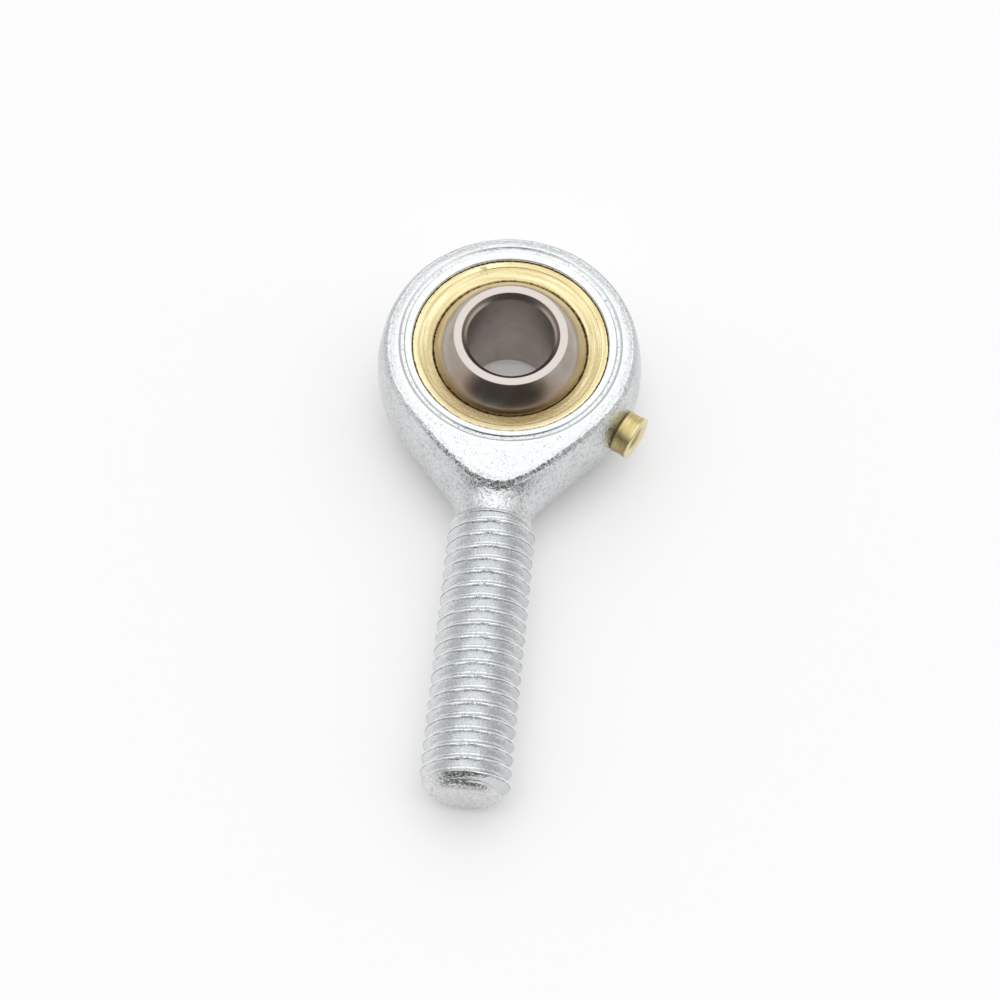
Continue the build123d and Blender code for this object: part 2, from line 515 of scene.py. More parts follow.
# %% Build the thread's tree
def thread_tree(material):
    """A node tree that makes the threaded shank, from the neck's end to the closed tip."""
    tree = bpy.data.node_groups.new("rolled_thread", "GeometryNodeTree")
    kinds = {"Head": "Geometry", **dict.fromkeys(THREAD_SIZES, "Float")}
    kinds |= dict.fromkeys(THREAD_COUNTS, "Int")
    for name, kind in kinds.items():
        tree.interface.new_socket(name=name, in_out="INPUT", socket_type="NodeSocket" + kind)
    tree.interface.new_socket(name="Geometry", in_out="OUTPUT", socket_type="NodeSocketGeometry")
    size = tree.nodes.new("NodeGroupInput").outputs

    run = plus(size["Length"], size["Tip radius"])
    turns = calc("CEIL", plus(calc("DIVIDE", run, size["Pitch"]), 2.0))
    rows = plus(times(turns, size["Rows per turn"]), 1.0)
    columns = plus(size["Segments"], 1.0)
    grid_size = {"Size X": 1.0, "Size Y": 1.0, "Vertices X": columns, "Vertices Y": rows}
    sheet = node(tree, "GeometryNodeMeshGrid", grid_size)
    place = split(tree.nodes.new("GeometryNodeInputPosition").outputs[0])
    around, along = plus(place[0], 0.5), times(plus(place[1], 0.5), turns)
    travel, past_crest = along_helix(size, around, along, run)

    angle = times(around, 2 * math.pi)
    cosine, sine = calc("COSINE", angle), calc("SINE", angle)
    spot = vector_of(cosine, sine, times(travel, 100.0))
    uneven = {"Vector": spot, "W": 4.7, "Scale": 6.0, "Detail": 3.0, "Roughness": 0.6}
    uneven = node(tree, "ShaderNodeTexNoise", uneven, noise_dimensions="4D").outputs[0]
    ripple = times(minus(uneven, 0.5), size["Unevenness"])
    rolled, fade, seam = rolled_radius(size, travel, past_crest, ripple)
    radius, depth, over_cone = cut_tip(size, travel, rolled)
    level = minus(size["Start level"], depth)
    place = vector_of(times(radius, cosine), level, times(radius, sine))

    # The finish reads where the thread, its seam, its crest and the chamfer are from four attributes; it
    # paints a highlight along the crest and shade in the seam.
    # They are stored on the flat grid, because the sums above start from the grid's own places.
    mesh = sheet.outputs["Mesh"]
    lit = calc("DIVIDE", plus(past_crest, 0.05 * MM), 0.09 * MM)
    crest = calc("EXPONENT", times(lit, lit, -1.0))
    for label, value in zip(THREAD_MASKS, (fade, seam, crest, over_cone)):
        inputs = {"Geometry": mesh, "Name": label, "Value": value}
        mesh = node(tree, "GeometryNodeStoreNamedAttribute", inputs, domain="POINT").outputs[0]
    mesh = node(tree, "GeometryNodeSetPosition", {"Geometry": mesh, "Position": place}).outputs[0]
    both = tree.nodes.new("GeometryNodeJoinGeometry")
    for part in (mesh, size["Head"]):
        tree.links.new(part, both.inputs[0])
    mesh = both.outputs[0]
    inputs = {"Geometry": mesh, "Distance": 0.001 * MM}
    mesh = node(tree, "GeometryNodeMergeByDistance", inputs).outputs[0]
    mesh = node(tree, "GeometryNodeRealizeInstances", {"Geometry": mesh}).outputs[0]
    mesh = node(tree, "GeometryNodeSetMaterial", {"Geometry": mesh, "Material": material}).outputs[0]
    feed(tree.nodes.new("NodeGroupOutput").inputs[0], mesh)
    return tree


# %% Run a tree on a mesh
def modifier_mesh(name, start, tree, values):
    """Runs a tree on a mesh with its inputs set, and returns the result as a plain mesh."""
    holder = bpy.data.objects.new(name, start)
    bpy.context.scene.collection.objects.link(holder)
    modifier = holder.modifiers.new("nodes", "NODES")
    modifier.node_group = tree
    for item in tree.interface.items_tree:
        if item.in_out == "INPUT" and item.name in values:
            modifier[item.identifier] = values[item.name]
    graph = bpy.context.evaluated_depsgraph_get()
    mesh = bpy.data.meshes.new_from_object(holder.evaluated_get(graph))
    bpy.data.objects.remove(holder)
    print(name, "has", len(mesh.polygons), "faces")
    return mesh


# %% [markdown]
# ## Shared surface effects
# Three effects are shader node groups with their own inputs: a grain for metal that was never cut, fine
# rings for metal that was turned in a lathe, and the small dark flecks that handling leaves. Several
# finishes share them. A group only puts out heights and masks, and the shader stays in the material.

# %% Build the shared groups
def effect(name, inputs, outputs):
    """Starts a shader node group: its tree, where its values come from and where they go."""
    tree = bpy.data.node_groups.new(name, "ShaderNodeTree")
    for label, value in inputs.items():
        kind = "NodeSocketVector" if value is None else "NodeSocketFloat"
        socket = tree.interface.new_socket(name=label, in_out="INPUT", socket_type=kind)
        if value is not None:
            socket.default_value = value
    for label in outputs:
        tree.interface.new_socket(name=label, in_out="OUTPUT", socket_type="NodeSocketFloat")
    return tree, tree.nodes.new("NodeGroupInput").outputs, tree.nodes.new("NodeGroupOutput").inputs


def scaled(vector, factor):
    """A vector times a number."""
    inputs = {0: vector, "Scale": factor}
    return node(vector.id_data, "ShaderNodeVectorMath", inputs, operation="SCALE").outputs[0]


def noise_at(vector, scale, detail=2.0, roughness=0.5, distortion=0.0):
    """A noise from 0 to 1."""
    inputs = {"Vector": vector, "Scale": scale, "Detail": detail}
    inputs |= {"Roughness": roughness, "Distortion": distortion}
    return node(vector.id_data, "ShaderNodeTexNoise", inputs).outputs[0]


def grain_effect():
    """Plated forging skin: rounded lumps, fine grit between them and the odd deeper pit."""
    tree, given, out = effect("forged_grain", {"Place": None, "Lump size": 0.4}, ["Height", "Pits"])
    cells = calc("DIVIDE", 1.0, given["Lump size"])
    lumps = noise_at(given["Place"], cells, 1.0, 0.4, 0.6)
    grit = noise_at(given["Place"], times(cells, 3.1), 3.0, 0.7)
    height = plus(times(lumps, 0.87), times(grit, 0.13))
    sparse = noise_at(given["Place"], times(cells, 1.7), 1.0, 0.5, 1.2)
    pits = ramp(sparse, 0.66, 0.76)
    feed(out["Height"], minus(height, times(pits, 0.5)))
    feed(out["Pits"], pits)
    return tree


def rings_effect():
    """Turning marks: fine rings round an axis, which fade in and out along their way round."""
    tree, given, out = effect("turning_marks", {"Place": None, "Spacing": 0.1}, ["Height", "Streaks"])
    place = split(given["Place"])
    flat = vector_of(place[0], place[1])
    radius = vector_calc("LENGTH", flat)["Value"]
    way = split(scaled(vector_calc("NORMALIZE", flat)[0], 0.55))
    across = calc("DIVIDE", plus(radius, place[2]), given["Spacing"])
    spot = vector_of(way[0], way[1], across)
    fine = noise_at(spot, 1.0, 2.0, 0.6)
    broad = noise_at(vector_calc("MULTIPLY", spot, (2.5, 2.5, 0.22))[0], 1.0, 2.0, 0.55)
    feed(out["Height"], plus(times(fine, 0.7), times(broad, 0.3)))
    feed(out["Streaks"], ramp(broad, 0.35, 0.68))
    return tree


def flecks_effect():
    """Handling marks: small dark specks of oil and dust, in loose clusters."""
    inputs = {"Place": None, "Fleck size": 0.2, "Amount": 0.5}
    tree, given, out = effect("handling_flecks", inputs, ["Mask"])
    cells = calc("DIVIDE", 1.0, given["Fleck size"])
    specks = noise_at(given["Place"], cells, 1.0, 0.5, 0.8)
    clusters = noise_at(given["Place"], times(cells, 0.16), 2.0, 0.5)
    level = minus(0.95, times(given["Amount"], 0.3))
    mix = plus(specks, times(minus(clusters, 0.5), 0.7))
    feed(out["Mask"], ramp(mix, level, plus(level, 0.06)))
    return tree


GRAIN, RINGS, FLECKS = grain_effect(), rings_effect(), flecks_effect()
print("shared groups:", GRAIN.name, RINGS.name, FLECKS.name)


def place_effect(group, **values):
    """Places a shared group in a material and returns its outputs."""
    made = node(values["Place"].id_data, "ShaderNodeGroup", node_tree=group)
    for name, value in values.items():
        feed(made.inputs[name.replace("_", " ")], value)
    return made.outputs


# %% [markdown]
# ## Finishes
# Every finish is a metal, so what the eye reads is mostly its reflections. The colour sets the metal,
# the roughness sets how wide a reflection spreads, and the bump breaks it up in the way the piece was
# made. All textures read Object coordinates in millimetres, so they keep their real size on every piece.

# %% Helpers for finishes
def finish(name):
    """Starts a metal finish: its material, and its place in millimetres."""
    made = bpy.data.materials.new(name)
    made.use_nodes = True
    made.node_tree.nodes["Principled BSDF"].inputs["Metallic"].default_value = 1.0
    coordinates = made.node_tree.nodes.new("ShaderNodeTexCoord").outputs
    return made, scaled(coordinates["Object"], 1 / MM)


def blend(share, first, second):
    """Mixes two colours. Either may be a socket."""
    first, second = [(*v, 1.0) if isinstance(v, tuple) else v for v in (first, second)]
    inputs = {"Factor": share, 6: first, 7: second}
    return node(share.id_data, "ShaderNodeMix", inputs, data_type="RGBA").outputs[2]


def between(share, first, second):
    """Mixes two numbers."""
    inputs = {"Factor": share, 2: first, 3: second}
    return node(share.id_data, "ShaderNodeMix", inputs).outputs[0]


def layered(colour, *layers):
    """Lays colours over a first one, each with the share that it covers."""
    for share, over in layers:
        colour = blend(share, colour, over)
    return colour


def dress(made, colour, roughness, *reliefs):
    """Feeds the shader, and stacks heights from 0 to 1 as bumps of real depths in millimetres."""
    tree = made.node_tree
    shader = tree.nodes["Principled BSDF"].inputs
    feed(shader["Base Color"], colour)
    feed(shader["Roughness"], roughness)
    normal = {}
    for height, depth in reliefs:
        inputs = {"Strength": 1.0, "Distance": depth * MM, "Height": height, **normal}
        normal["Normal"] = node(tree, "ShaderNodeBump", inputs).outputs[0]
    feed(shader["Normal"], normal["Normal"])
    print("finish", made.name, "has", len(tree.nodes), "nodes and", len(reliefs), "reliefs")
    return made


def distance_from_bore(place):
    """How far a point is from the bore's axis, in millimetres."""
    return vector_calc("LENGTH", vector_calc("MULTIPLY", place, (1, 1, 0))[0])["Value"]


def past(value, edge, low, high):
    """A smooth step across an edge of the part, from low to high in millimetres past that edge."""
    return ramp(value, edge / MM + low, edge / MM + high)


print("finish helpers are ready")

# %% [markdown]
# Zinc plating follows whatever is under it. On the forging it is a sparkling satin over lumps and grit,
# on the turned ring round the race it is almost smooth, and on the rolled thread it is smooth with a few
# bruises. The distance from the bore tells the ring from the forging, and four attributes of the mesh
# tell where the thread, its rolled seam, its crests and the chamfer at the tip are. Light is painted in
# too: a highlight along the crests, a paler thread, shade in the seam and on one side of the thread, and
# dark reflections on the chamfer and along the edge on the shank's side.

# %% Zinc plated steel
def zinc_finish():
    """Bright zinc over a forged, turned and rolled body."""
    made, place = finish("zinc_plated_steel")
    axis = split(place)
    from_bore = distance_from_bore(place)
    height_up = calc("ABSOLUTE", axis[2])
    outside_ring = past(from_bore, RING_START, -0.12, 0.15)
    on_face = past(height_up, head_face, -0.35, -0.05)
    ring = times(on_face, minus(1.0, outside_ring))
    thread, seam, crest, chamfer = [
        node(made.node_tree, "ShaderNodeAttribute", attribute_name=label).outputs["Fac"]
        for label in THREAD_MASKS
    ]
    rolled = calc("SUBTRACT", thread, chamfer, clamp=True)
    crest = times(crest, rolled)
    smooth = calc("MAXIMUM", ring, times(rolled, 0.7))
    rough_skin = calc("MULTIPLY_ADD", smooth, -0.82, 1.0)
    flat = times(on_face, outside_ring)
    edge = minus(1.0, past(height_up, head_face, -0.24, -0.14))
    edge = times(past(height_up, head_face, -0.70, -0.45), edge)

    grain = place_effect(GRAIN, Place=place, Lump_size=0.30)
    fine = noise_at(place, 9.0, 3.0, 0.65)
    nicks = noise_at(place, 3.2, 2.0, 0.6, 0.8)
    sawn = noise_at(place, 6.5, 1.0, 0.5)
    marks = place_effect(RINGS, Place=place, Spacing=0.07)
    flecks = place_effect(FLECKS, Place=place, Fleck_size=0.16, Amount=0.55)["Mask"]

    # Dirt and painted light: the low spots of the grain are darker, as dirt and shade; painted shade on
    # the
    # +X side of the thread and in the seam; a painted dark reflection in a crescent on the sawn chamfer;
    # and soot with a painted dark reflection along the edge on the shank's side.
    cloud = ramp(noise_at(place, 0.35, 3.0, 0.6), 0.35, 0.65)
    low_spots = minus(1.0, ramp(grain["Height"], 0.28, 0.50))
    # The low spots of the grain are painted darker, as dirt and shade.
    dirt_and_shade = times(calc("MULTIPLY_ADD", flat, -0.75, 1.0), rough_skin, low_spots)
    pitted = times(grain["Pits"], times(rough_skin, 0.6))
    # Painted shade: the +X side of the thread is painted darker.
    shaded_side = calc("MULTIPLY_ADD", noise_at(place, 0.9, 2.0, 0.6), 1.6, axis[0])
    shaded_side = times(ramp(shaded_side, 1.6, 4.0), thread)
    patchy = calc("MULTIPLY_ADD", ramp(noise_at(place, 0.8, 2.0, 0.6), 0.38, 0.58), 0.6, 0.3)
    cut_end = blend(ramp(nicks, 0.36, 0.62), (0.66, 0.67, 0.66), (0.86, 0.87, 0.86))
    # Painted dark reflection in a crescent on the top of the sawn chamfer.
    reflected_crescent = times(ramp(axis[2], 1.5, 2.5), ramp(calc("ABSOLUTE", axis[0]), 2.6, 1.5))
    reflected_crescent = times(reflected_crescent, times(chamfer, ramp(sawn, 0.40, 0.56)))
    # Along the edge on the shank's side: soot and a painted dark reflection.
    front_edge = times(edge, ramp(axis[1], -6.5, -12.0))
    soot_and_dark_reflection = ramp(noise_at(place, 3.4, 2.0, 0.6, 0.8), 0.48, 0.60)
    colour = layered(
        blend(cloud, (0.675, 0.695, 0.702), (0.735, 0.75, 0.757)),
        (times(on_face, 0.75), (0.655, 0.675, 0.682)),
        (times(dirt_and_shade, 0.45), (0.30, 0.31, 0.31)),
        (pitted, (0.26, 0.27, 0.27)),
        (times(flecks, 0.55), (0.28, 0.27, 0.26)),
        # Paler zinc on the smoother thread, partly painted light that makes up for the shade in its
        # grooves.
        (times(thread, 0.6), (0.79, 0.815, 0.825)),
        (times(shaded_side, 0.5), (0.58, 0.60, 0.61)),
        # Painted highlight along the crests.
        (crest, (0.97, 0.975, 0.98)),
        # Painted shade in the seam's groove, broken up by the patchy mask.
        (times(seam, rolled, patchy), (0.2, 0.2, 0.2)),
        (chamfer, cut_end),
        (times(reflected_crescent, 0.8), (0.16, 0.16, 0.17)),
        (times(soot_and_dark_reflection, front_edge, 0.8), (0.08, 0.08, 0.08)),
    )
    roughness = calc("MULTIPLY_ADD", fine, 0.16, 0.14)
    for mask, change in ((thread, 0.03), (crest, -0.08), (rough_skin, 0.06)):
        roughness = calc("MULTIPLY_ADD", mask, change, roughness)

    skin = plus(times(rough_skin, calc("MULTIPLY_ADD", flat, -0.55, 1.0)), times(edge, 1.1))
    nicked = minus(thread, times(calc("MAXIMUM", crest, chamfer), 0.8))
    return dress(
        made,
        colour,
        roughness,
        (times(grain["Height"], skin), 0.085),
        (times(fine, skin), 0.014),
        (times(nicks, nicked), 0.045),
        (times(sawn, chamfer), 0.045),
        (times(marks["Height"], ring), 0.012),
    )


zinc = zinc_finish()

# %% [markdown]
# The race is turned brass. Its dish shows the lathe's rings, broader streaks where the tool chattered
# and dark specks along both edges, where dirt and painted shade sit in the gaps.

# %% Brass of the race
SEAT_RADIUS = ball_radius + 0.03 * MM
MOUTH_LEVEL = race_face - 0.65 * MM
MOUTH_RADIUS = math.sqrt(SEAT_RADIUS**2 - MOUTH_LEVEL**2)
LIP_RADIUS = race_radius - 0.28 * MM
BRUISE = Vector((-3.2, 7.8, 4.1)) * MM


def race_finish():
    """Turned brass with rings, streaks and specks."""
    made, place = finish("race_brass")
    marks = place_effect(RINGS, Place=place, Spacing=0.09)
    flecks = place_effect(FLECKS, Place=place, Fleck_size=0.14, Amount=0.5)["Mask"]
    # The race is painted darker towards the shank's side.
    darker_toward_shank = ramp(split(place)[1], -3.0, -8.0)

    # Dirt and painted shade sit in both gaps. Its edge wanders, and it reaches out in specks here and
    # there.
    wander = minus(noise_at(place, 2.6, 3.0, 0.7), 0.5)
    reach = calc("MULTIPLY_ADD", wander, 0.5, distance_from_bore(place))
    inner = minus(1.0, past(reach, MOUTH_RADIUS, 0.01, 0.08))
    dirt_and_shade = calc("MAXIMUM", inner, past(reach, LIP_RADIUS, -0.08, -0.02))
    bruise = vector_calc("DISTANCE", place, BRUISE / MM)["Value"]
    bruise = minus(1.0, ramp(calc("MULTIPLY_ADD", wander, 1.6, bruise), 0.10, 0.50))
    colour = layered(
        blend(marks["Streaks"], (0.63, 0.525, 0.275), (0.85, 0.75, 0.475)),
        (times(darker_toward_shank, 0.45), (0.52, 0.45, 0.28)),
        (times(flecks, 0.7), (0.30, 0.20, 0.08)),
        (times(dirt_and_shade, 0.85), (0.10, 0.07, 0.03)),
        (times(bruise, 0.75), (0.32, 0.23, 0.12)),
    )
    roughness = calc("MULTIPLY_ADD", noise_at(place, 9.0, 2.0, 0.6), 0.12, 0.22)
    smear = noise_at(place, 2.6, 2.0, 0.6, 0.5)
    return dress(made, colour, roughness, (marks["Height"], 0.026), (smear, 0.03))


race_brass = race_finish()

# %% [markdown]
# The ball is hardened steel. Its sphere is polished and browned by tempering, its two faces are ground
# to a pale matt ring, and its bore is left dull. Height and distance from the bore tell the three apart.

# %% Steel of the ball
def ball_finish():
    """Polished dark sphere, pale ground faces and a dull bore."""
    made, place = finish("bearing_steel")
    axis = split(place)
    from_bore = distance_from_bore(place)
    height_up = calc("ABSOLUTE", axis[2])
    face = past(height_up, ball_face, -0.05, -0.02)
    in_bore = minus(1.0, past(from_bore, bore_radius, 0.02, 0.1))
    cloud = ramp(noise_at(place, 0.5, 3.0, 0.6, 0.4), 0.3, 0.7)
    fine = noise_at(place, 16.0, 2.0, 0.6)
    marks = place_effect(RINGS, Place=place, Spacing=0.06)
    flecks = place_effect(FLECKS, Place=place, Fleck_size=0.15, Amount=0.45)["Mask"]

    # Tempering leaves a blush on the sphere, the race wears a darker belt into it, and oil stays there.
    blush = ramp(noise_at(place, 0.4, 1.0, 0.5), 0.38, 0.62)
    blush = times(blush, ramp(axis[1], -2.6, -5.4))
    worn = minus(1.0, ramp(height_up, 3.5, 4.6))
    oily = times(worn, ramp(axis[1], -1.5, -5.5))
    cut = minus(1.0, past(from_bore, bore_radius, 0.50, 0.54))
    cut = times(cut, past(height_up, ball_face, -0.34, -0.18))
    colour = layered(
        blend(cloud, (0.47, 0.41, 0.35), (0.54, 0.49, 0.435)),
        (times(blush, 0.7), (0.40, 0.27, 0.19)),
        (times(worn, 0.7), (0.34, 0.28, 0.22)),
        (times(oily, 0.8), (0.13, 0.085, 0.05)),
        (in_bore, blend(cloud, (0.40, 0.35, 0.31), (0.46, 0.405, 0.36))),
        (times(cut, 0.85), (0.24, 0.17, 0.14)),
        (face, (0.58, 0.53, 0.50)),
        (times(flecks, 0.6), (0.20, 0.15, 0.12)),
    )
    roughness = calc("MULTIPLY_ADD", fine, 0.06, 0.18)
    roughness = calc("MULTIPLY_ADD", calc("MAXIMUM", in_bore, cut), 0.18, roughness)
    roughness = calc("MULTIPLY_ADD", face, 0.22, roughness)
    lapped = times(marks["Height"], calc("MULTIPLY_ADD", in_bore, 0.4, face))
    return dress(made, colour, roughness, (lapped, 0.006), (fine, 0.0015))


bearing_steel = ball_finish()

# %% [markdown]
# The nipple's brass is older and greener than the race's. Its turning marks run round its own axis, so a
# Mapping node turns the Object coordinates until that axis is their Z.

# %% Brass of the nipple
def nipple_finish():
    """Olive brass, turned about the nipple's own axis."""
    made, place = finish("nipple_brass")
    turn = Vector((0, 0, 1)).rotation_difference(nipple_axis).inverted().to_euler()
    inputs = {"Vector": place, "Rotation": turn}
    own = node(made.node_tree, "ShaderNodeMapping", inputs).outputs[0]
    marks = place_effect(RINGS, Place=own, Spacing=0.05)
    flecks = place_effect(FLECKS, Place=place, Fleck_size=0.12, Amount=0.5)["Mask"]
    side = minus(1.0, past(split(own)[2], nipple_top, -0.25, -0.10))
    # Painted shade: the side is painted darker towards its lower end, with a noisy edge.
    lower_side_shade = calc("MULTIPLY_ADD", noise_at(place, 1.1, 3.0, 0.6), 1.6, minus(0.0, split(place)[2]))
    lower_side_shade = times(ramp(lower_side_shade, 0.0, 2.6), side)
    colour = layered(
        blend(marks["Streaks"], (0.57, 0.46, 0.21), (0.72, 0.60, 0.31)),
        (times(lower_side_shade, 0.85), (0.25, 0.195, 0.11)),
        # Painted highlight: the end face is painted paler.
        (times(minus(1.0, side), 0.7), (0.86, 0.77, 0.45)),
        (times(flecks, 0.6), (0.25, 0.19, 0.08)),
    )
    fine = noise_at(place, 12.0, 2.0, 0.6)
    roughness = calc("MULTIPLY_ADD", side, 0.14, calc("MULTIPLY_ADD", fine, 0.12, 0.20))
    return dress(made, colour, roughness, (marks["Height"], 0.002), (fine, 0.004))


nipple_brass = nipple_finish()

# %% [markdown]
# The check ball is lapped and the spring is drawn wire. Both are bare steel deep in the nipple, so they
# share one plain finish and differ in tone only.

# %% Steel of the small pieces
def wire_finish(name, tone):
    """Plain drawn or lapped steel, for the small pieces inside the nipple."""
    made, place = finish(name)
    fine = noise_at(place, 18.0, 2.0, 0.6)
    colour = blend(fine, tone, tuple(v * 0.8 for v in tone))
    return dress(made, colour, calc("MULTIPLY_ADD", fine, 0.1, 0.16), (fine, 0.002))


check_steel = wire_finish("check_ball_steel", (0.72, 0.73, 0.75))
spring_steel = wire_finish("spring_steel", (0.58, 0.58, 0.60))

# %% [markdown]
# ## The body
# The head's skin and the threaded shank end on the same ring of points at the foot of the neck, so the
# thread's tree takes the head in, joins it to the shank and welds the two into one closed body. The
# forging's skin is then made a little uneven, because a forging is never a true sphere. The staked ring
# wanders a little too, as the tool that pressed it did. The thread stays as it is.

# %% Make the body
head_mesh = welded_mesh("head", head_grids)
thread_values = {**THREAD_SIZES, **THREAD_COUNTS}
body_mesh = modifier_mesh("forged_body", head_mesh, thread_tree(zinc), thread_values)

# %% Make its skin uneven
NEAR, NEAR_FACE = 0.02 * MM, 0.01 * MM
LUMPS = {3.1 * MM: 0.035 * MM, 1.1 * MM: 0.016 * MM}  # how far apart: how high
SHRINK = 0.055 * MM  # more than the lumps are high, so that the skin stays inside the CAD model's
FACE_FADE, NECK_FADE = 0.4 * MM, 0.8 * MM
STAKE_MIDDLE, STAKE_REACH = 9.85 * MM, 0.5 * MM
WANDER, WANDER_ROUND, WANDER_DOWN = 0.05 * MM, 2.3, 40


def staked(spot, from_bore):
    """Where a point of the staked ring moves to."""
    on_stake = max(0.0, 1 - abs(from_bore - STAKE_MIDDLE) / STAKE_REACH)
    outward = Vector((spot.x, spot.y, 0)).normalized()
    wander = noise.noise(outward * WANDER_ROUND + Vector((0, 0, WANDER_DOWN * spot.z))) * WANDER
    return spot + outward * wander * on_stake


work = bmesh.new()
work.from_mesh(body_mesh)
bmesh.ops.recalc_face_normals(work, faces=work.faces)
for vertex in work.verts:
    spot = vertex.co
    from_bore = math.hypot(spot.x, spot.y)
    if spot.y < -neck_end + NEAR:
        continue
    if from_bore < RING_START + NEAR and abs(spot.z) < head_face + NEAR_FACE:
        vertex.co = staked(spot, from_bore)
        continue
    swell = sum(noise.noise(spot / size) * height for size, height in LUMPS.items())
    on_face = abs(spot.z) > head_face - NEAR_FACE
    fade = min(1.0, (from_bore - RING_START) / FACE_FADE) if on_face else 1.0
    fade *= min(1.0, (spot.y + neck_end) / NECK_FADE)
    vertex.co = spot + vertex.normal * (swell - SHRINK) * max(fade, 0.0)
body = piece(finish_mesh(work, body_mesh), zinc)

# %% [markdown]
# ## The race
# The race is a turned ring. Its outline goes round the dish, down the seat that holds the ball, and back
# up the outside. The shallow step in the dish is where the forming tool stopped.

# %% Make the race
SEGMENTS = 256
GROOVE_HALF, GROOVE_DEPTH = 0.8 * MM, 0.4 * MM
RACE_RIM, RACE_BEVEL = 0.25 * MM, 0.12 * MM
STEP_OUTER, STEP_INNER = 8.40 * MM, 8.33 * MM
DISH_SLOPE = 0.4 / 1.36


def dish_level(radius):
    """Height of the dish's cone at a radius."""
    return race_face - (LIP_RADIUS - RACE_RIM - radius) * DISH_SLOPE


upper_race = [
    (race_radius, GROOVE_HALF, 0.02),
    (race_radius, race_face - 0.34 * MM, 0.02),
    (LIP_RADIUS - 0.04 * MM, race_face - 0.03 * MM, 0.03),
    (LIP_RADIUS - RACE_RIM, race_face, 0.03),
    (STEP_OUTER, dish_level(STEP_OUTER) + 0.015 * MM, 0.04),
    (STEP_INNER, dish_level(STEP_INNER) - 0.01 * MM, 0.04),
    (MOUTH_RADIUS + RACE_BEVEL, MOUTH_LEVEL + RACE_BEVEL, 0.04),
    (MOUTH_RADIUS, MOUTH_LEVEL, 0.03),
]
seat_angle = math.asin(MOUTH_LEVEL / SEAT_RADIUS)
upper = [*upper_race, *arc_points(SEAT_RADIUS, seat_angle * 0.97, 0.0, 22)]
lower = [(radius, -height, edge) for radius, height, edge in reversed(upper[:-1])]
groove = [(race_radius - GROOVE_DEPTH, level, 0.05) for level in (-GROOVE_HALF, GROOVE_HALF)]
race_grid = turned(soften([*upper, *lower, *groove]), SEGMENTS)
race = piece(welded_mesh("turned_race", [race_grid]), race_brass)

# %% [markdown]
# ## The ball
# A ball ground flat on two sides and bored. The bore's chamfer and the edge between face and sphere are
# short, but they carry the bright lines that make the ring read as ground.

# %% Make the ball
BORE_CHAMFER = 0.5 * MM
flat_radius = math.sqrt(ball_radius**2 - ball_face**2)
face_angle = math.asin(ball_face / ball_radius)
sphere_points = arc_points(ball_radius, -face_angle * 0.985, face_angle * 0.985, 72)
ball_outline = [
    (flat_radius, -ball_face, 0.05),
    *sphere_points,
    (flat_radius, ball_face, 0.05),
    (bore_radius + BORE_CHAMFER, ball_face, 0.03),
    (bore_radius, ball_face - BORE_CHAMFER, 0.05),
    (bore_radius, -ball_face + BORE_CHAMFER, 0.05),
    (bore_radius + BORE_CHAMFER, -ball_face, 0.03),
]
ball = piece(welded_mesh("bored_ball", [turned(soften(ball_outline), SEGMENTS)]), bearing_steel)

# %% [markdown]
# ## The grease nipple
# The nipple is turned about its own axis, which leans down the side of the head. Its waist is an arc
# between the collar and the rim, and its funnel ends in the orifice that the check ball closes.

# %% Make the nipple
COLLAR, WAIST, RIM, STEM = 2.05 * MM, 1.97 * MM, 2.06 * MM, 1.5 * MM
FUNNEL, FUNNEL_DEPTH, ORIFICE, ORIFICE_LENGTH = 1.55 * MM, 0.45 * MM, 0.45 * MM, 0.2 * MM
CHAMBER, FOOT_BORE = 0.9 * MM, 0.45 * MM
shoulder = math.sqrt(head_radius**2 - STEM**2)
foot = race_radius + 0.35 * MM
collar_top = foot + 0.35 * MM
orifice_top = nipple_top - FUNNEL_DEPTH
orifice_foot = orifice_top - ORIFICE_LENGTH


def waist_points():
    """The side of the nipple between collar and rim, as a shallow hollow."""
    level = np.linspace(shoulder + 0.12 * MM, nipple_top - 0.2 * MM, 14)
    share = (level - level[0]) / (level[-1] - level[0])
    radius = COLLAR + (RIM - COLLAR) * share - 4 * share * (1 - share) * ((COLLAR + RIM) / 2 - WAIST)
    return [(float(r), float(z), 0) for r, z in zip(radius, level)]


nipple_outline = [
    (FOOT_BORE, foot, 0.02),
    (STEM, foot, 0.05),
    (STEM, shoulder, 0.0),
    (COLLAR - 0.08 * MM, shoulder, 0.0),
    *waist_points(),
    (RIM, nipple_top - 0.1 * MM, 0.03),
    (RIM - 0.1 * MM, nipple_top, 0.04),
    (FUNNEL, nipple_top, 0.04),
    (ORIFICE, orifice_top, 0.03),
    (ORIFICE, orifice_foot, 0.03),
    (CHAMBER, orifice_foot - (CHAMBER - ORIFICE), 0.04),
    (CHAMBER, collar_top, 0.04),
    (FOOT_BORE, collar_top, 0.03),
]
nipple_grid = turned(soften(nipple_outline), SEGMENTS // 2, nipple_axis)
nipple = piece(welded_mesh("grease_nipple", [nipple_grid]), nipple_brass)

# %% [markdown]
# ## The check ball and its spring
# The check ball is an icosphere, which has no poles and so no pinched shading. The spring behind it is a
# wire wound about the nipple's axis. Its foot stays where it is, and its top bears on the check ball, so
# it has to shorten as the ball lifts. The record gives the foot and the ball's travel.

# %% Make the check ball
check_low, check_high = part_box("nipple_check_ball")
check_centre, check_radius = (check_low + check_high) / 2, (check_high.z - check_low.z) / 2
check_mesh = bpy.data.meshes.new("check_ball")
at_centre = Matrix.Translation(check_centre)
work = bmesh.new()
bmesh.ops.create_icosphere(work, subdivisions=5, radius=check_radius, matrix=at_centre)
check_ball = piece(finish_mesh(work, check_mesh), check_steel)
print("its radius is", round(check_radius / MM, 3), "mm")

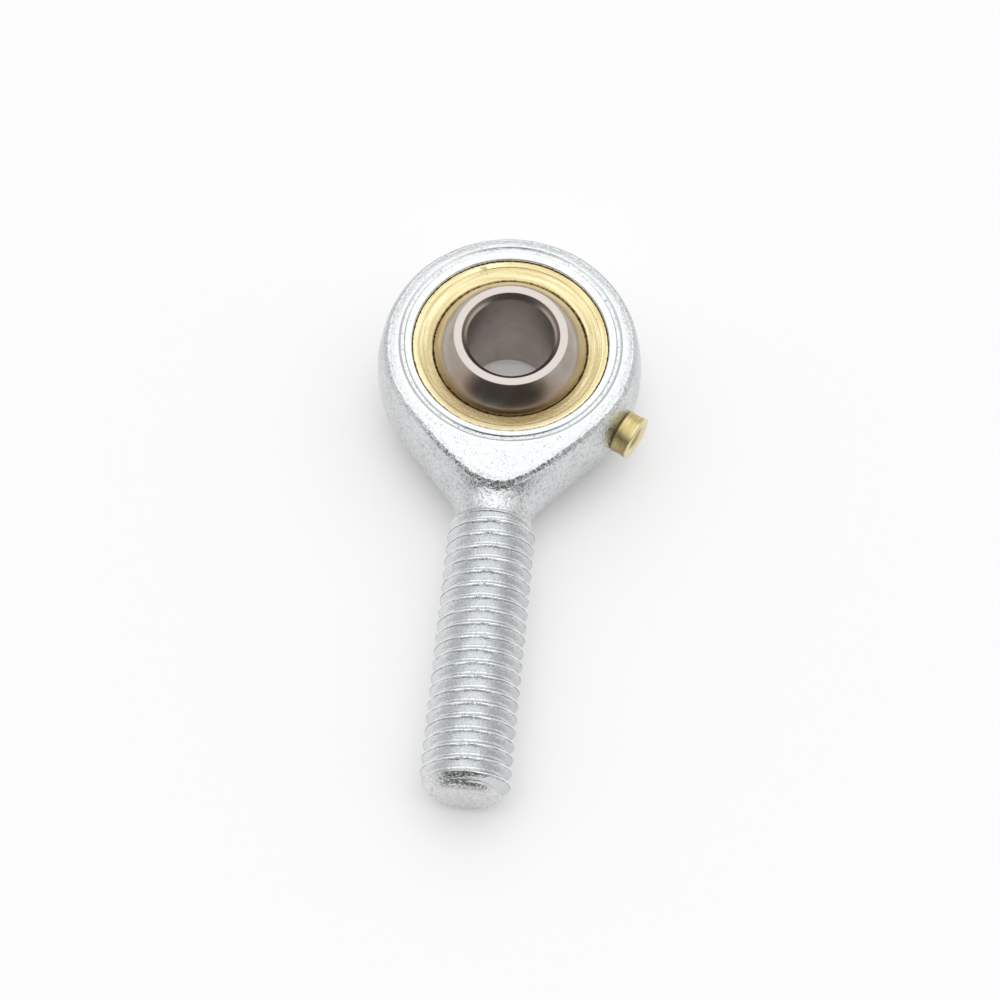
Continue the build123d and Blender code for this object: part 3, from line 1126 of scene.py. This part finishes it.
# %% Make the spring
SPRING_WIRE, SPRING_COIL, SPRING_TURNS, BEARING_GAP = 0.088 * MM, 0.5 * MM, 4, 0.1 * MM
joints = frame["record"]["behaviour"]["joints"]
lift = next(joint for joint in joints if joint["name"] == "check_ball_lift")
spring_foot = Vector(lift["deforming_nodes"][0]["fixed_end_m"])
spring_low = spring_foot.length + SPRING_WIRE
spring_high = check_centre.length - math.sqrt((check_radius + BEARING_GAP) ** 2 - SPRING_COIL**2)


def spring_grid(sides=12, steps=24):
    """Rings of points along the wire. The first and last ring shrink to a point, to close the ends."""
    across = np.array([0.0, 0.0, 1.0])
    along = np.array(nipple_axis)
    aside = np.cross(along, across)
    turn = np.linspace(0, 2 * math.pi * SPRING_TURNS, SPRING_TURNS * steps + 1)[:, None]
    outward = np.cos(turn) * across + np.sin(turn) * aside
    middle = outward * SPRING_COIL + along * (spring_low + (spring_high - spring_low) * turn / turn[-1])
    forward = np.gradient(middle, axis=0)
    forward /= np.linalg.norm(forward, axis=1)[:, None]
    rising = np.cross(forward, outward)
    around = np.linspace(0, 2 * math.pi, sides + 1)[None, :, None]
    rings = np.cos(around) * outward[:, None] + np.sin(around) * rising[:, None]
    rings = middle[:, None] + rings * SPRING_WIRE
    ends = [np.repeat(middle[end][None, None], sides + 1, axis=1) for end in (0, -1)]
    return np.concatenate([ends[0], rings, ends[1]])


spring = piece(welded_mesh("valve_spring", [spring_grid()]), spring_steel)

# %% [markdown]
# ## Which piece moves with what
# The ball swivels, the check ball lifts, and all else is the housing. Each new piece rides on a body,
# stands for its CAD node and names the finish it takes.

# %% Tie the pieces to the frame
for made, part, rides_on, finish_slot in (
    (body, "rod_end_body", "housing", "zinc_plated_steel"),
    (race, "race", "housing", "race_brass"),
    (nipple, "nipple_body", "housing", "nipple_brass"),
    (ball, "ball", "swivel", "bearing_steel"),
    (check_ball, "nipple_check_ball", "valve", "check_ball_steel"),
    (spring, "nipple_spring", "housing", "spring_steel"),
):
    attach(made, rides_on)
    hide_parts(part)
    print(made.name, "stands for", part, "and rides on", rides_on)
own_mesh(spring)

# %% [markdown]
# ## Floor, light and camera
# The part lies on a white sweep: the lower edge of the ball and the shank's tip touch it, so the floor
# is tilted by the few degrees between them. The light is a white tent: it comes from all round, with one
# dark opening in front, where the camera stands. Polished metal needs that dark place to show its form.
# The camera itself sees plain white behind the part.

# %% Floor
TIP_CHAMFER, FLOOR_GAP = 0.95 * MM, 0.02 * MM
FLOOR_REACH = 1200 * MM
rest_ball = Vector((0, -flat_radius, -ball_face))
rest_tip = Vector((0, -(shank_tip - TIP_CHAMFER), -thread_radius))
slope = (rest_ball - rest_tip).normalized()
up = Vector((1, 0, 0)).cross(slope)
middle = rest_ball - up * FLOOR_GAP
corners = [
    middle + Vector((x * FLOOR_REACH, 0, 0)) + slope * y * FLOOR_REACH
    for x, y in ((-1, -1), (1, -1), (1, 1), (-1, 1))
]
floor_mesh = bpy.data.meshes.new("sweep")
floor_mesh.from_pydata(corners, [], [(0, 1, 2, 3)])
floor_material = bpy.data.materials.new("white_sweep")
floor_material.use_nodes = True
floor_tree = floor_material.node_tree
paper = floor_tree.nodes["Principled BSDF"]
paper.inputs["Roughness"].default_value = 0.9
paper.inputs["Specular IOR Level"].default_value = 0.0
paper.inputs["Base Color"].default_value = (0.94, 0.94, 0.94, 1.0)
glow = node(floor_tree, "ShaderNodeEmission", {"Color": (1.0, 0.995, 0.995, 1.0), "Strength": 1.03})
ray = floor_tree.nodes.new("ShaderNodeLightPath").outputs
seen = calc("MAXIMUM", ray["Is Camera Ray"], ray["Is Glossy Ray"])
under = node(floor_tree, "ShaderNodeAmbientOcclusion", {"Distance": 4 * MM}, samples=8).outputs["AO"]
share = times(seen, times(under, 0.45))
lifted = {0: share, 1: paper.outputs[0], 2: glow.outputs[0]}
lifted = node(floor_tree, "ShaderNodeMixShader", lifted).outputs[0]
feed(floor_tree.nodes["Material Output"].inputs["Surface"], lifted)
floor = piece(floor_mesh, floor_material)
floor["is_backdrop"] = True
print("floor leans by", round(math.degrees(math.asin(slope.z)), 2), "degrees")


# %% Light tent
SIDE_LIGHT, TOP_LIGHT, BACK_LIGHT, OPENING, BACKDROP = 0.72, 1.40, 1.52, 0.08, 0.97


def patch(direction, toward, inner, outer):
    """A soft round patch of the tent, 1 inside and 0 outside, by angles from its middle."""
    dot = vector_calc("DOT_PRODUCT", direction, Vector(toward).normalized())["Value"]
    return ramp(dot, math.cos(math.radians(outer)), math.cos(math.radians(inner)))


world = bpy.data.worlds.new("light_tent")
world.use_nodes = True
bpy.context.scene.world = world
tent = world.node_tree
direction = tent.nodes.new("ShaderNodeTexCoord").outputs["Generated"]
rise = split(direction)[2]
strength = between(ramp(rise, 0.45, 0.85), SIDE_LIGHT, TOP_LIGHT)
back_light = patch(direction, (-0.05, 0.45, 0.89), 18, 43)
strength = between(back_light, strength, BACK_LIGHT)
wide = vector_calc("NORMALIZE", vector_calc("MULTIPLY", direction, (0.62, 1, 1))[0])[0]
opening = patch(wide, (0.0, -0.92, 0.39), 24, 50)
strength = between(opening, strength, OPENING)
behind = tent.nodes.new("ShaderNodeLightPath").outputs["Is Camera Ray"]
strength = between(behind, strength, BACKDROP)
feed(tent.nodes["Background"].inputs["Strength"], strength)
tent.nodes["Background"].inputs["Color"].default_value = (1.0, 1.0, 1.0, 1.0)
print("tent: sides", SIDE_LIGHT, "top", TOP_LIGHT, "back", BACK_LIGHT, "opening", OPENING)

# %% [markdown]
# The camera looks down at the part from the shank's side, from as far off as a long lens needs. It is
# placed by the point it looks at, its distance and three angles, which are easier to read than a matrix.

# %% Camera
LOOK_AT = Vector((2.06, -18.27, 0)) * MM
DISTANCE = 219.5 * MM
AZIMUTH, ELEVATION, ROLL = math.radians(-2.61), math.radians(64.5), math.radians(3.0)
across, back = -math.sin(AZIMUTH) * math.cos(ELEVATION), -math.cos(AZIMUTH) * math.cos(ELEVATION)
toward_camera = Vector((across, back, math.sin(ELEVATION)))
camera_data = bpy.data.cameras.new("camera")
camera_data.sensor_width = 36.0
camera_data.lens = 87.9
camera_data.shift_x, camera_data.shift_y = -0.0134, 0.0459
camera_data.clip_start, camera_data.clip_end = 0.01, 10.0
camera = bpy.data.objects.new("camera", camera_data)
bpy.context.scene.collection.objects.link(camera)
upright = (-toward_camera).to_track_quat("-Z", "Y").to_matrix()
turned_view = upright @ Matrix.Rotation(ROLL, 3, "Z")
camera.matrix_world = Matrix.Translation(LOOK_AT + toward_camera * DISTANCE) @ turned_view.to_4x4()
bpy.context.scene.camera = camera
bpy.context.scene.view_settings.view_transform = "Standard"
print("camera at", [round(v / MM, 1) for v in camera.matrix_world.translation], "mm")

# %% Measure and finish
shown_low, shown_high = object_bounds()
boxes = {"cad": [list(cad_low), list(cad_high)], "shown": [list(shown_low), list(shown_high)]}
for name, (low, high) in boxes.items():
    print(name, "box in mm:", [round(v / MM, 3) for v in (*low, *high)])
